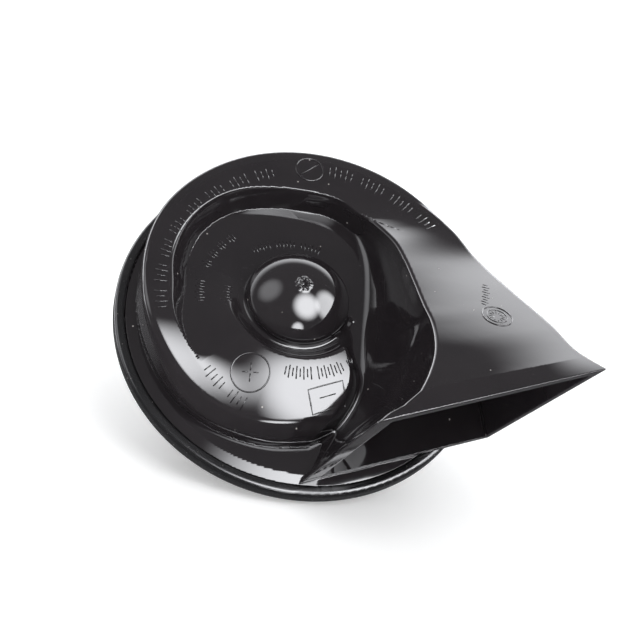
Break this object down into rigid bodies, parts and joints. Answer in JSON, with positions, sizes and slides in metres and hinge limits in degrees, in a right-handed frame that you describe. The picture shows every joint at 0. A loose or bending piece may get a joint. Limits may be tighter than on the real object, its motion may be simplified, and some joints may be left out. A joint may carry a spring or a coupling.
{
  "type": "electric snail horn",
  "caption": "Electric vehicle horn with a moulded spiral trumpet, a flared bell, a crimped steel housing, a rear connector and a swivelling mounting bracket.",
  "frame": {"origin": "on the axis of the rim and the stud, in the plane where the trumpet's flange meets the crimped lip", "axes": "+Z out of the trumpet's front, along the stud's axis; the bell's mouth opens towards +X and -Y"},
  "size_m": [0.0935, 0.08, 0.0688],
  "materials": {
    "black_abs": "moulded, glossy",
    "black_steel": "black electro-coat",
    "gasket": "matt",
    "spring_steel": "rolled",
    "soft_steel": "turned",
    "zinc_steel": "zinc plated",
    "white_nylon": "moulded",
    "enamelled_copper": "enamelled wire",
    "brown_laminate": "pressed laminate",
    "brass": "turned",
    "bronze_leaf": "rolled strip",
    "tungsten": "ground",
    "ceramic": "glazed",
    "black_nylon": "moulded, fine texture",
    "tinned_brass": "tin plated",
    "wire_sleeve": "smooth"
  },
  "bodies": {
    "horn": {"front_shell": "black_abs", "back_shell": "black_abs", "housing": "black_steel", "front_gasket": "gasket", "rear_gasket": "gasket", "diaphragm": "spring_steel", "pole_core": "zinc_steel", "coil_bobbin": "white_nylon", "coil_winding": "enamelled_copper", "coil_retainer": "spring_steel", "breaker_base": "brown_laminate", "breaker_spacers": "brown_laminate", "breaker_rivets": "brass", "adjuster_sleeve": "brass", "spark_resistor": "ceramic", "connector_shroud": "black_nylon", "positive_blade": "tinned_brass", "negative_blade": "tinned_brass", "terminal_rivets": "zinc_steel", "lead_wires": "wire_sleeve", "lock_washer": "zinc_steel", "stud_nut": "zinc_steel"},
    "armature": {"armature": "soft_steel", "armature_washer": "zinc_steel", "armature_nut": "zinc_steel"},
    "spring_arm": {"breaker_spring_arm": "bronze_leaf", "spring_arm_pad": "brown_laminate", "moving_contact_tip": "tungsten"},
    "fixed_arm": {"breaker_fixed_arm": "bronze_leaf", "fixed_contact_tip": "tungsten"},
    "adjuster_slider": {"adjuster_tip": "brown_laminate"},
    "adjuster_screw": {"adjusting_screw": "zinc_steel"},
    "bracket": {"mounting_bracket": "zinc_steel"}
  },
  "joints": [
    {"name": "armature_stroke", "type": "slide", "parent": "horn", "child": "armature", "axis": [0, 0, 1], "range_m": [-0.0005, 0], "deforming": ["diaphragm"]},
    {"name": "spring_arm_flex", "type": "hinge", "parent": "horn", "child": "spring_arm", "pos_m": [0.0205, -0.0196, -0.00675], "axis": [1, 0, 0], "range_deg": [-1.47, 0.01]},
    {"name": "adjuster_turn", "type": "hinge", "parent": "adjuster_slider", "child": "adjuster_screw", "pos_m": [0.0275, 0.0085, -0.012], "axis": [0, 0, 1], "range_deg": [-1, 181]},
    {"name": "adjuster_travel", "type": "slide", "parent": "horn", "child": "adjuster_slider", "axis": [0, 0, 1], "range_m": [0, 0.00035]},
    {"name": "fixed_arm_flex", "type": "hinge", "parent": "horn", "child": "fixed_arm", "pos_m": [0.0205, -0.0196, -0.0053], "axis": [1, 0, 0], "range_deg": [-0.005, 0.7186]},
    {"name": "bracket_swivel", "type": "hinge", "parent": "horn", "child": "bracket", "pos_m": [0, 0, -0.023], "axis": [0, 0, 1], "range_deg": [-45, 25]}
  ],
  "couplings": [
    {"joint": "spring_arm_flex", "follows": "armature_stroke", "rad_per_m": 51.02},
    {"joint": "adjuster_turn", "follows": "adjuster_travel", "rad_per_m": 8976},
    {"joint": "fixed_arm_flex", "follows": "adjuster_travel", "rad_per_m": 35.587}
  ]
}
